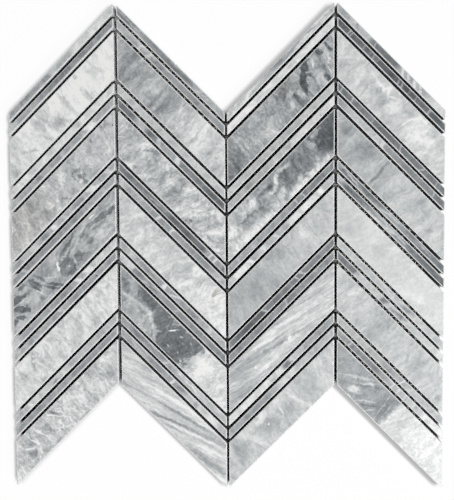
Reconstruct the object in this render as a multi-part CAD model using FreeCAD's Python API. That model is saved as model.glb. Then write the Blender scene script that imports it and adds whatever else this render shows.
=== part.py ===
import FreeCAD, Part
import math
import os
import random

# Chevron wall tile: a sheet of polished marble stones laid as chevrons, held
# together by an open net of coated glass threads on their backs.
# The sheet lies flat, back down. X runs across the columns, Y runs up the
# columns, and the polished faces look along +Z. The origin is on the floor
# under the middle of the sheet.

# The pattern
COLUMN_COUNT = 4
ROW_COUNT = 5
SLANT_DEG = 45.0

# Stones. A step is measured square to the slanted edges, and holds one stone
# and one joint.
STONE_RUN = 67.4
STONE_THICKNESS = 9.5
SLAT_STEP = 22.4
STRIP_STEP = 6.0
SLAT_TIP_RADIUS = 0.4
STRIP_TIP_CUT = 0.7
ARRIS = 0.4

# Joints between stones of one column, from the leftmost column on, and the
# upright joints between neighbouring columns.
COLUMN_JOINTS = (1.65, 1.6, 1.7, 1.65)
UPRIGHT_JOINTS = (2.1, 1.5, 1.7)

# How far up each column lies, and how far hand laying leaves a stone from its
# true place
COLUMN_SHIFTS = (0.5, -0.2, -0.1, -0.2)
SHIFT_BY_HAND = 0.12
TURN_BY_HAND_DEG = 0.12

# The net on the back. Lengthwise threads lie under the crosswise ones.
THREAD_WIDTH = 0.55
THREAD_THICKNESS = 0.25
LENGTHWISE_PITCH = 4.1
CROSSWISE_PITCH = 3.7
NET_INSET_LEFT = 2.5
NET_INSET_RIGHT = 10.5
NET_INSET_ENDS = 6.0

# What follows from the sizes above
SLANT = math.radians(SLANT_DEG)
ROW_STEP = SLAT_STEP + 2 * STRIP_STEP
ROW_HEIGHT = ROW_STEP / math.cos(SLANT)
COLUMN_RISE = STONE_RUN * math.tan(SLANT)
SHEET_WIDTH = COLUMN_COUNT * STONE_RUN + sum(UPRIGHT_JOINTS)
SHEET_HEIGHT = ROW_COUNT * ROW_HEIGHT + COLUMN_RISE
STONE_SEAT = 2 * THREAD_THICKNESS


def column_centre(column):
    left = -SHEET_WIDTH / 2 + column * STONE_RUN + sum(UPRIGHT_JOINTS[:column])
    return left + STONE_RUN / 2


def lean(column):
    """Even columns rise to the right, and odd ones fall to the right."""
    return 1 if column % 2 == 0 else -1


def along_column(distance):
    """Turns a distance square to the slanted edges into one up the column."""
    return distance / math.cos(SLANT)


def sawn_block(column, step):
    """A slanted block as long as its column is wide, square sided, round the origin."""
    half_run = STONE_RUN / 2
    half_edge = along_column(step - COLUMN_JOINTS[column]) / 2
    rise = lean(column) * half_run * math.tan(SLANT)
    corners = [
        FreeCAD.Vector(-half_run, -rise - half_edge, 0),
        FreeCAD.Vector(half_run, rise - half_edge, 0),
        FreeCAD.Vector(half_run, rise + half_edge, 0),
        FreeCAD.Vector(-half_run, -rise + half_edge, 0),
    ]
    outline = Part.makePolygon(corners + corners[:1])
    return Part.Face(outline).extrude(FreeCAD.Vector(0, 0, STONE_THICKNESS))


def sharp_corners(block):
    """The upright edges at the two sharp corners, which lie furthest out."""
    upright = [edge for edge in block.Edges if edge.BoundBox.ZLength > ARRIS]
    upright.sort(key=lambda edge: math.hypot(edge.CenterOfMass.x, edge.CenterOfMass.y))
    return upright[-2:]


def ease_arris(block):
    """Chamfers the rim of the polished face."""
    top = block.BoundBox.ZMax
    rim = [edge for edge in block.Edges if edge.BoundBox.ZMin > top - ARRIS / 2]
    return block.makeChamfer(ARRIS, rim)


def laid_by_hand(block, column, from_top, step, piece_key):
    """Lays a block whose step starts this far down its column, not quite true."""
    top_of_column = SHEET_HEIGHT / 2 - COLUMN_RISE / 2
    middle_y = top_of_column - along_column(from_top + step / 2) + COLUMN_SHIFTS[column]
    hand = random.Random(piece_key)
    turn = hand.uniform(-TURN_BY_HAND_DEG, TURN_BY_HAND_DEG)
    block.rotate(FreeCAD.Vector(0, 0, 0), FreeCAD.Vector(0, 0, 1), turn)
    shift_x = hand.uniform(-SHIFT_BY_HAND, SHIFT_BY_HAND)
    shift_y = hand.uniform(-SHIFT_BY_HAND, SHIFT_BY_HAND)
    middle_x = column_centre(column)
    block.translate(FreeCAD.Vector(middle_x + shift_x, middle_y + shift_y, STONE_SEAT))
    return block


def wide_slat(column, row):
    """A slat, with its sharp corners rounded."""
    block = sawn_block(column, SLAT_STEP)
    block = ease_arris(block.makeFillet(SLAT_TIP_RADIUS, sharp_corners(block)))
    from_top = row * ROW_STEP + 2 * STRIP_STEP
    return laid_by_hand(block, column, from_top, SLAT_STEP, f"slat {column} {row}")


def strip_pair(column, row):
    """The two strips above the slat of their row, with their sharp tips cut blunt."""
    strips = []
    for place in range(2):
        block = sawn_block(column, STRIP_STEP)
        block = ease_arris(block.makeChamfer(STRIP_TIP_CUT, sharp_corners(block)))
        from_top = row * ROW_STEP + place * STRIP_STEP
        piece_key = f"strip {column} {row} {place}"
        strips.append(laid_by_hand(block, column, from_top, STRIP_STEP, piece_key))
    return Part.makeCompound(strips)


def net_outline():
    """The zigzag outline of the stones, drawn in by the net's insets."""
    half_height = SHEET_HEIGHT / 2 - NET_INSET_ENDS
    edges = [column_centre(column) - STONE_RUN / 2 for column in range(COLUMN_COUNT)]
    edges[0] += NET_INSET_LEFT
    edges.append(SHEET_WIDTH / 2 - NET_INSET_RIGHT)
    low_points = []
    for place, x in enumerate(edges):
        column = min(place, COLUMN_COUNT - 1)
        rise = lean(column) * (x - column_centre(column)) * math.tan(SLANT)
        low_points.append((x, -half_height + COLUMN_RISE / 2 + rise))
    column_height = 2 * half_height - COLUMN_RISE
    high_points = [(x, y + column_height) for x, y in reversed(low_points)]
    corners = [FreeCAD.Vector(x, y, 0) for x, y in low_points + high_points]
    return Part.Face(Part.makePolygon(corners + corners[:1]))


def thread_centres(low, high, pitch):
    """Evenly pitched places that fill a span, centred in it."""
    count = int((high - low - THREAD_WIDTH) / pitch)
    start = (low + high - count * pitch) / 2
    return [start + index * pitch for index in range(count + 1)]


def trimmed_to_net(threads):
    """Cuts one layer of long threads to the outline of the net."""
    block = net_outline().extrude(FreeCAD.Vector(0, 0, STONE_SEAT))
    trimmed = Part.makeCompound(threads).common(block)
    return Part.makeCompound(trimmed.Solids)


def lengthwise_threads():
    box = net_outline().BoundBox
    threads = []
    for x in thread_centres(box.XMin, box.XMax, LENGTHWISE_PITCH):
        corner = FreeCAD.Vector(x - THREAD_WIDTH / 2, box.YMin, 0)
        threads.append(Part.makeBox(THREAD_WIDTH, box.YLength, THREAD_THICKNESS, corner))
    return trimmed_to_net(threads)


def crosswise_threads():
    box = net_outline().BoundBox
    threads = []
    for y in thread_centres(box.YMin, box.YMax, CROSSWISE_PITCH):
        corner = FreeCAD.Vector(box.XMin, y - THREAD_WIDTH / 2, THREAD_THICKNESS)
        threads.append(Part.makeBox(box.XLength, THREAD_WIDTH, THREAD_THICKNESS, corner))
    return trimmed_to_net(threads)


os.makedirs("parts", exist_ok=True)

for column in range(COLUMN_COUNT):
    for row in range(ROW_COUNT):
        name = f"c{column + 1}_r{row + 1}"
        wide_slat(column, row).exportStep(f"parts/wide_slat_{name}.step")
        strip_pair(column, row).exportStep(f"parts/strip_pair_{name}.step")

lengthwise_threads().exportStep("parts/net_lengthwise_threads.step")
crosswise_threads().exportStep("parts/net_crosswise_threads.step")
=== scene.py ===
import math

import bpy
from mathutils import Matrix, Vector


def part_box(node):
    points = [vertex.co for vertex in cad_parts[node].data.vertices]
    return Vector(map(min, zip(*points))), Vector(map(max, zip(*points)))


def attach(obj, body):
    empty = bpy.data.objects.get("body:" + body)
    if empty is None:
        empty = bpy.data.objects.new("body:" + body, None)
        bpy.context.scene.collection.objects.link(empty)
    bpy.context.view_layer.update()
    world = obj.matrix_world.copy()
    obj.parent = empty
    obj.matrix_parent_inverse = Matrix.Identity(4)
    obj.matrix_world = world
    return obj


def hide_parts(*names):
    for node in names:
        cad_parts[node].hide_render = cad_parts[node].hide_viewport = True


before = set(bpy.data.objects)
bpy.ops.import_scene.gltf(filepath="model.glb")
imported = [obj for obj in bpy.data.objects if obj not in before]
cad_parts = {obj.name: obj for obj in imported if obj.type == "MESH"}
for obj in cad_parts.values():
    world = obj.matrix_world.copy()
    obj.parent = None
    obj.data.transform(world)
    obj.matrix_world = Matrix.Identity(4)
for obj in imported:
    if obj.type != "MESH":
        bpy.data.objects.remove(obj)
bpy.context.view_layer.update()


# Wide slats.
# Twenty slats of grey and white marble, sawn from slab, ground and polished on
# the face, their rims eased with a hand stone. Each is cut from another place
# in the slab, so its clouds, veins and dark patches are its own.

# Sizes are in mm, as the CAD has them, and so are a stone's own places: along it,
# across it and up, from its middle. Its tones reach this far to either end. A
# column that rises to the right leans by 1, and one that falls by -1.
MM = 0.001
STONE_RUN = 67.4
SLAT_HALF_WIDTH = 10.4
STRIP_STEP = 6.0
TONES_REACH = 60.0
LEAN = {"c1": 1, "c2": -1, "c3": 1, "c4": -1}

# How far apart in the slab two stones with neighbouring seeds are cut, for their
# bends and for their clouds, and how far in depth the two strips of a pair
BENDS_APART = (57.0, 31.0, 83.0)
CLOUDS_APART = (19.0, 43.0, 71.0)
STRIPS_APART = 80.0

# In the first column the sides that face the lower right, toward the lamp, get
# less painted shade and the lower rims a wider pale band, a painted highlight,
# and the upright joint beside it gets no painted shade
LIT_WALL_COLUMN = "c1"
LOW_RIM_HIGHLIGHT = 0.25
UNSHADED_JOINT_X = -69.0

# The marble's shades from its darkest patches to its whitest veins
MARBLE_SHADES = ("#232528", "#3d4043", "#585c5f", "#75797c", "#8f9396", "#a9acae",
                 "#bfc2c3", "#d3d5d5", "#e6e7e7", "#f7f7f6")
# Pale dust for the sawn sides and back, which on the eased rims also serves as a painted highlight
RIM_DUST_AND_HIGHLIGHT = "#eceded"
# Dark grey for the painted shade on the closed-in sides inside the joints
JOINT_SHADE_GREY = "#2b2c2e"
IRON_STAIN = "#a4927a"


def linear(code):
    """An sRGB hex colour as linear red, green, blue and alpha."""
    parts = [int(code[place:place + 2], 16) / 255 for place in (1, 3, 5)]
    return [part / 12.92 if part <= 0.04045 else ((part + 0.055) / 1.055) ** 2.4
            for part in parts] + [1.0]


def add_node(tree, kind, inputs={}, **settings):
    """Adds a node, sets it up, and links or fills its inputs. Where the input is a
    node, its first output is linked."""
    node = tree.nodes.new(kind)
    for name, value in settings.items():
        setattr(node, name, value)
    for name, value in inputs.items():
        if isinstance(value, bpy.types.Node):
            value = value.outputs[0]
        if isinstance(value, bpy.types.NodeSocket):
            tree.links.new(value, node.inputs[name])
        else:
            node.inputs[name].default_value = value
    return node


def set_stops(ramp, stops):
    """Gives a colour ramp its places and colours or greys, from left to right."""
    elements = ramp.color_ramp.elements
    while len(elements) > 1:
        elements.remove(elements[-1])
    for index, (place, colour) in enumerate(stops):
        element = elements[0] if index == 0 else elements.new(place)
        element.position = place
        is_grey = isinstance(colour, (int, float))
        element.color = (colour, colour, colour, 1.0) if is_grey else colour


def new_material(name):
    material = bpy.data.materials.new(name)
    material.use_nodes = True
    material.node_tree.nodes.clear()
    return material, material.node_tree


def patch(along, across, half_along, half_across, tone, turn=0, edge=0.45):
    """A cloud, chip or stain: an ellipse on the face, in mm from the stone's middle."""
    return (along, across, half_along, half_across, turn, tone, edge, 0)


def vein(start, end, width, tone, edge=0.5):
    """A vein or flame that tapers to both ends."""
    run, rise = end[0] - start[0], end[1] - start[1]
    middle = (start[0] + end[0]) / 2, (start[1] + end[1]) / 2
    half = math.hypot(run, rise) / 2
    return (*middle, half, width / 2, math.degrees(math.atan2(rise, run)), tone, edge, 0)


def ring(along, across, half_along, half_across, tone, thick=0.25, turn=0):
    """A ring that a fossil or a rolled pebble leaves in the stone."""
    return (along, across, half_along, half_across, turn, tone, thick, 1)


def ellipse_distance(tree, places, middle, halves, turn=0):
    """How far out a place lies from an ellipse's middle, where the ellipse is at 1."""
    own = add_node(tree, "ShaderNodeMapping", {
        "Vector": places, "Location": (*middle, 0), "Rotation": (0, 0, math.radians(turn)),
        "Scale": (*halves, 1000)}, vector_type="TEXTURE")
    return add_node(tree, "ShaderNodeVectorMath", {0: own}, operation="LENGTH").outputs["Value"]


def add_marks(tree, tone, flat, fray, marks):
    """Lays each mark over the tone of the stone, one after another."""
    for along, across, half_along, half_across, turn, value, edge, is_ring in marks:
        far = ellipse_distance(tree, flat, (along, across), (half_along, half_across), turn)
        far = add_node(tree, "ShaderNodeMath", {0: far, 1: fray}, operation="ADD")
        inner, outer = 1 - edge, 1 + edge
        if is_ring:
            far = add_node(tree, "ShaderNodeMath", {0: far, 1: 1.0}, operation="SUBTRACT")
            far = add_node(tree, "ShaderNodeMath", {0: far}, operation="ABSOLUTE")
            inner, outer = 0.0, edge
        mask = add_node(tree, "ShaderNodeMapRange", {
            "Value": far, "From Min": inner, "From Max": outer, "To Min": 1.0, "To Max": 0.0},
            interpolation_type="SMOOTHSTEP")
        tone = add_node(tree, "ShaderNodeMix", {
            "Factor": mask, "A": tone, "B": value}, data_type="FLOAT")
    return tone


def tone_along(tree, flat, stops):
    """The stone's tone as it goes from its left end to its right one."""
    split = add_node(tree, "ShaderNodeSeparateXYZ", {0: flat})
    place = add_node(tree, "ShaderNodeMapRange", {
        "Value": split.outputs["X"], "From Min": -TONES_REACH, "From Max": TONES_REACH})
    ramp = add_node(tree, "ShaderNodeValToRGB", {"Fac": place})
    set_stops(ramp, [((along + TONES_REACH) / (2 * TONES_REACH), tone)
                     for along, tone in stops])
    return ramp.outputs["Color"]


def stone_places(tree, places, middle, lean, is_pair):
    """Places in mm from the stone's middle, or in a pair of strips from each strip's
    own middle. A pair also gets 1 for its upper strip and 0 for its lower one."""
    local = add_node(tree, "ShaderNodeMapping", {
        "Vector": places, "Location": middle, "Rotation": (0, 0, math.radians(45) * lean),
        "Scale": (MM, MM, MM)}, vector_type="TEXTURE")
    if not is_pair:
        return local, None
    split = add_node(tree, "ShaderNodeSeparateXYZ", {0: local})
    upper = add_node(tree, "ShaderNodeMath", {
        0: split.outputs["Y"], 1: 0.0}, operation="GREATER_THAN")
    sign = add_node(tree, "ShaderNodeMapRange", {"Value": upper, "To Min": -1.0, "To Max": 1.0})
    half_step = STRIP_STEP / 2
    shift = add_node(tree, "ShaderNodeVectorMath", {
        0: (-half_step * lean, -half_step, STRIPS_APART / 2), "Scale": sign},
        operation="SCALE")
    local = add_node(tree, "ShaderNodeVectorMath", {0: local, 1: shift}, operation="ADD")
    return local, upper


def bent_places(tree, local, seed, bend, swirl):
    """Slow bends and fine fraying, so that no vein runs as if it were ruled: places
    bent a little for the marks, and more for the clouds, and how an edge frays."""
    grain = add_node(tree, "ShaderNodeVectorMath", {
        0: local, 1: [seed * apart for apart in BENDS_APART]}, operation="ADD")
    slow = add_node(tree, "ShaderNodeTexNoise", {
        "Vector": grain, "Scale": 0.09, "Detail": 2.0}).outputs["Color"]
    fine = add_node(tree, "ShaderNodeTexNoise", {
        "Vector": grain, "Scale": 0.4, "Detail": 4.0, "Roughness": 0.6})
    bent = []
    for broad, frayed in ((bend, 2.5), (swirl, 2.0)):
        here = local
        for noise, amount in ((slow, broad), (fine.outputs["Color"], frayed)):
            here = add_node(tree, "ShaderNodeVectorMath", {
                0: noise, 1: (amount, amount, 0), 2: here}, operation="MULTIPLY_ADD")
        middle = -(broad + frayed) / 2
        bent.append(add_node(tree, "ShaderNodeVectorMath", {
            0: here, 1: (middle, middle, 0)}, operation="ADD"))
    clouds = add_node(tree, "ShaderNodeVectorMath", {
        0: bent[1], 1: [seed * apart for apart in CLOUDS_APART]}, operation="ADD")
    fray = add_node(tree, "ShaderNodeMapRange", {
        "Value": fine.outputs["Fac"], "To Min": -0.9, "To Max": 0.9})
    return bent[0], clouds, fray


def feathered_noise(tree, places, feather, spread, scale, detail, roughness):
    """A noise that is drawn out along the direction of the stone's feathers."""
    turned = add_node(tree, "ShaderNodeMapping", {
        "Vector": places, "Rotation": (0, 0, math.radians(feather)), "Scale": spread},
        vector_type="TEXTURE")
    return add_node(tree, "ShaderNodeTexNoise", {
        "Vector": turned, "Scale": scale, "Detail": detail, "Roughness": roughness}).outputs


def add_clouds(tree, tone, places, feather, cloud, mottle, streak):
    """Adds clouds about 6 mm across, mottling about 2 mm across, and streaks about
    2.5 mm wide and 30 mm long. Also gives the mottling, for the polish."""
    noises = [feathered_noise(tree, places, feather, spread, scale, detail, 0.66)["Fac"]
              for spread, scale, detail in (((1.8, 1.0, 1.4), 0.16, 6.0),
                                            ((1.2, 1.0, 1.0), 0.55, 5.0),
                                            ((12.0, 1.0, 6.0), 0.40, 4.0))]
    for noise, amount in zip(noises, (cloud, mottle, streak)):
        if amount:
            part = add_node(tree, "ShaderNodeMapRange", {
                "Value": noise, "From Min": 0.29, "From Max": 0.71, "To Min": -amount,
                "To Max": amount}, clamp=False)
            tone = add_node(tree, "ShaderNodeMath", {0: tone, 1: part}, operation="ADD")
    return tone, noises[1]


def add_hair_veins(tree, tone, places, feather, hair):
    """Adds soft veins where one of three noises passes its middle: two sets of
    pale calcite veins, and one of dark ones."""
    web = feathered_noise(tree, places, feather, (2.0, 1.0, 1.4), 0.15, 3.0, 0.5)["Color"]
    web = add_node(tree, "ShaderNodeSeparateColor", {0: web})
    for channel, amount, width in (("Red", hair, 0.12), ("Green", hair, 0.04),
                                   ("Blue", -hair, 0.05)):
        off = add_node(tree, "ShaderNodeMath", {
            0: web.outputs[channel], 1: 0.5}, operation="SUBTRACT")
        off = add_node(tree, "ShaderNodeMath", {0: off}, operation="ABSOLUTE")
        line = add_node(tree, "ShaderNodeMapRange", {
            "Value": off, "From Min": 0.0, "From Max": width, "To Min": amount, "To Max": 0.0},
            interpolation_type="SMOOTHSTEP")
        tone = add_node(tree, "ShaderNodeMath", {0: tone, 1: line}, operation="ADD")
    return tone


def add_stains(tree, colour, flat, stains):
    """Iron that seeped in from a crack has coloured the stone tan round it."""
    for along, across, half_along, half_across, strength in stains:
        far = ellipse_distance(tree, flat, (along, across), (half_along, half_across))
        mask = add_node(tree, "ShaderNodeMapRange", {
            "Value": far, "From Min": 0.4, "From Max": 1.3, "To Min": strength, "To Max": 0.0},
            interpolation_type="SMOOTHSTEP")
        colour = add_node(tree, "ShaderNodeMix", {
            "Factor": mask, 6: colour, 7: linear(IRON_STAIN)}, data_type="RGBA",
            blend_type="MULTIPLY").outputs[2]
    return colour


def worn_rim_and_highlight(tree, local, lean, half_width, low_highlight):
    """Close to the rim the hand stone has dulled the polish, painted pale, which is
    also a painted highlight on the rim. Along the lower edge the pale band reaches so
    many mm more as the low rim says, a painted highlight where a lit side shows."""
    own = add_node(tree, "ShaderNodeSeparateXYZ", {0: local}).outputs
    across = add_node(tree, "ShaderNodeMath", {0: own["Y"], 1: low_highlight / 2}, operation="SUBTRACT")
    aside = add_node(tree, "ShaderNodeMath", {
        0: own["Y"], 1: -lean, 2: own["X"]}, operation="MULTIPLY_ADD")
    edges = []
    for off, slope, reach in ((across, 1.0, half_width - low_highlight / 2),
                              (aside, math.sqrt(0.5), STONE_RUN / 2)):
        off = add_node(tree, "ShaderNodeMath", {0: off}, operation="ABSOLUTE")
        edges.append(add_node(tree, "ShaderNodeMath", {
            0: off, 1: -slope, 2: reach}, operation="MULTIPLY_ADD"))
    inward = add_node(tree, "ShaderNodeMath", {0: edges[0], 1: edges[1]}, operation="MINIMUM")
    return add_node(tree, "ShaderNodeMapRange", {
        "Value": inward, "From Min": 0.4, "From Max": 0.8, "To Min": 0.7, "To Max": 0.0})


def painted_joint_shade(tree, where, has_lit_walls):
    """Painted shade: where the sides inside a joint are closed in, they are painted
    dark grey, but not beside the one upright joint that is left without it."""
    closed_in = add_node(tree, "ShaderNodeAmbientOcclusion", {"Distance": 6 * MM}, samples=8)
    painted_shade = add_node(tree, "ShaderNodeMapRange", {
        "Value": closed_in.outputs["AO"], "From Min": 0.15, "From Max": 0.55, "To Min": 0.9,
        "To Max": 0.0})
    here = add_node(tree, "ShaderNodeSeparateXYZ", {0: where["Object"]}).outputs
    off = add_node(tree, "ShaderNodeMath", {
        0: here["X"], 1: UNSHADED_JOINT_X * MM}, operation="SUBTRACT")
    off = add_node(tree, "ShaderNodeMath", {0: off}, operation="ABSOLUTE")
    left = add_node(tree, "ShaderNodeMapRange", {
        "Value": off, "From Min": 1.5 * MM, "From Max": 2.5 * MM})
    painted_shade = add_node(tree, "ShaderNodeMath", {0: painted_shade, 1: left}, operation="MULTIPLY")
    if not has_lit_walls:
        return painted_shade

    # In this column the sides that face the lower right, toward the lamp, get no
    # painted shade for the first 2 mm down, and get it more and more below
    facing = add_node(tree, "ShaderNodeVectorMath", {
        0: where["Normal"], 1: (math.sqrt(0.5), -math.sqrt(0.5), 0.0)},
        operation="DOT_PRODUCT").outputs["Value"]
    facing = add_node(tree, "ShaderNodeMapRange", {
        "Value": facing, "From Min": 0.9, "From Max": 0.99})
    height = add_node(tree, "ShaderNodeMapRange", {
        "Value": here["Z"], "From Min": 5.5 * MM, "From Max": 8.0 * MM})
    lit_sides = add_node(tree, "ShaderNodeMath", {0: facing, 1: height}, operation="MULTIPLY")
    left = add_node(tree, "ShaderNodeMath", {0: 1.0, 1: lit_sides}, operation="SUBTRACT")
    return add_node(tree, "ShaderNodeMath", {0: painted_shade, 1: left}, operation="MULTIPLY")


def marble(name, node, seed, half_width, halves, cloud=0.14, mottle=0.10, hair=0.035,
           streak=0.0, feather=75.0, bend=4.0, swirl=8.0, stains=()):
    """Polished marble for one stone, or for a pair of strips given as two halves.
    The pattern is solid, so it runs on down the sawn sides. A half has its tones
    and its marks, and the upper strip of a pair comes first. The clouds and fine
    veins are drawn out along the feather, in degrees from the stone's length."""
    material, tree = new_material(name)
    column = node[-5:-3]
    where = add_node(tree, "ShaderNodeTexCoord").outputs
    low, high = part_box(node)
    middle = [(a + b) / 2 for a, b in zip(low, high)]
    local, upper = stone_places(tree, where["Object"], middle, LEAN[column], len(halves) == 2)
    flat, places, fray = bent_places(tree, local, seed, bend, swirl)

    # The broad tones and the marks that can be told apart by eye, then the rest
    tones = [add_marks(tree, tone_along(tree, flat, stops), flat, fray, marks)
             for stops, marks in halves]
    tone = tones[0]
    if upper is not None:
        tone = add_node(tree, "ShaderNodeMix", {
            "Factor": upper, "A": tones[1], "B": tones[0]}, data_type="FLOAT")
    tone, mottling = add_clouds(tree, tone, places, feather, cloud, mottle, streak)
    tone = add_hair_veins(tree, tone, places, feather, hair)
    shades = add_node(tree, "ShaderNodeValToRGB", {"Fac": tone})
    set_stops(shades, [(int(code[3:5], 16) / 255, linear(code)) for code in MARBLE_SHADES])
    colour = add_stains(tree, shades.outputs["Color"], flat, stains)

    # The polished face looks up. The eased rim looks out at 45 degrees and is
    # pale, partly from grinding and partly as a painted highlight, and the sawn sides
    # and back hold some pale dust. Deep in the joints the sides get painted shade.
    up = add_node(tree, "ShaderNodeSeparateXYZ", {0: where["Normal"]}).outputs["Z"]
    unpolished = add_node(tree, "ShaderNodeMapRange", {
        "Value": up, "From Min": 0.8, "From Max": 0.95, "To Min": 1.0, "To Max": 0.0})
    dust_and_highlight = add_node(tree, "ShaderNodeValToRGB", {"Fac": up})
    set_stops(dust_and_highlight, ((0.3, 0.5), (0.6, 0.95), (0.8, 0.95), (0.95, 0.0)))
    # The column whose sides facing the lower right get less painted shade and whose lower rims get
    # a wider painted highlight
    has_lit_walls = column == LIT_WALL_COLUMN
    worn_and_highlight = worn_rim_and_highlight(tree, local, LEAN[column], half_width, LOW_RIM_HIGHLIGHT if has_lit_walls else 0.0)
    pale = add_node(tree, "ShaderNodeMath", {
        0: dust_and_highlight.outputs["Color"], 1: worn_and_highlight}, operation="MAXIMUM")
    for share, code in ((pale, RIM_DUST_AND_HIGHLIGHT), (painted_joint_shade(tree, where, has_lit_walls), JOINT_SHADE_GREY)):
        colour = add_node(tree, "ShaderNodeMix", {
            "Factor": share, 6: colour, 7: linear(code)}, data_type="RGBA").outputs[2]

    # The polish is a little uneven over the mottling. The saw left fine marks
    # that run round the sides, about 0.35 mm apart.
    polish = add_node(tree, "ShaderNodeMapRange", {
        "Value": mottling, "From Min": 0.3, "From Max": 0.7, "To Min": 0.20, "To Max": 0.32})
    rough = add_node(tree, "ShaderNodeMix", {
        "Factor": unpolished, "A": polish, "B": 0.62}, data_type="FLOAT")
    saw = add_node(tree, "ShaderNodeMapping", {
        "Vector": local, "Scale": (6.0, 6.0, 0.35)}, vector_type="TEXTURE")
    saw = add_node(tree, "ShaderNodeTexNoise", {
        "Vector": saw, "Scale": 1.0, "Detail": 3.0}).outputs["Fac"]
    saw = add_node(tree, "ShaderNodeMath", {0: saw, 1: unpolished}, operation="MULTIPLY")

    # The eased rim is a little round, so that most of it looks further up
    lift = add_node(tree, "ShaderNodeValToRGB", {"Fac": up})
    set_stops(lift, [(place, (0, 0, amount, 1.0)) for place, amount in
                     ((0.3, 0.0), (0.6, 0.8), (0.8, 0.8), (0.95, 0.0))])
    lifted = add_node(tree, "ShaderNodeVectorMath", {
        0: where["Normal"], 1: lift.outputs["Color"]}, operation="ADD")
    lifted = add_node(tree, "ShaderNodeVectorMath", {0: lifted}, operation="NORMALIZE")
    relief = add_node(tree, "ShaderNodeBump", {
        "Strength": 0.5, "Distance": 0.2 * MM, "Height": saw, "Normal": lifted})
    shader = add_node(tree, "ShaderNodeBsdfPrincipled", {
        "Base Color": colour, "Roughness": rough, "IOR": 1.5, "Normal": relief})
    add_node(tree, "ShaderNodeOutputMaterial", {"Surface": shader})
    return material


def dress(node, material):
    """Puts a material on a CAD node, whose shape stays as it is."""
    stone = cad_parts[node]
    if not stone.material_slots:
        stone.data.materials.append(material)
    stone.material_slots[0].material = material


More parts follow.
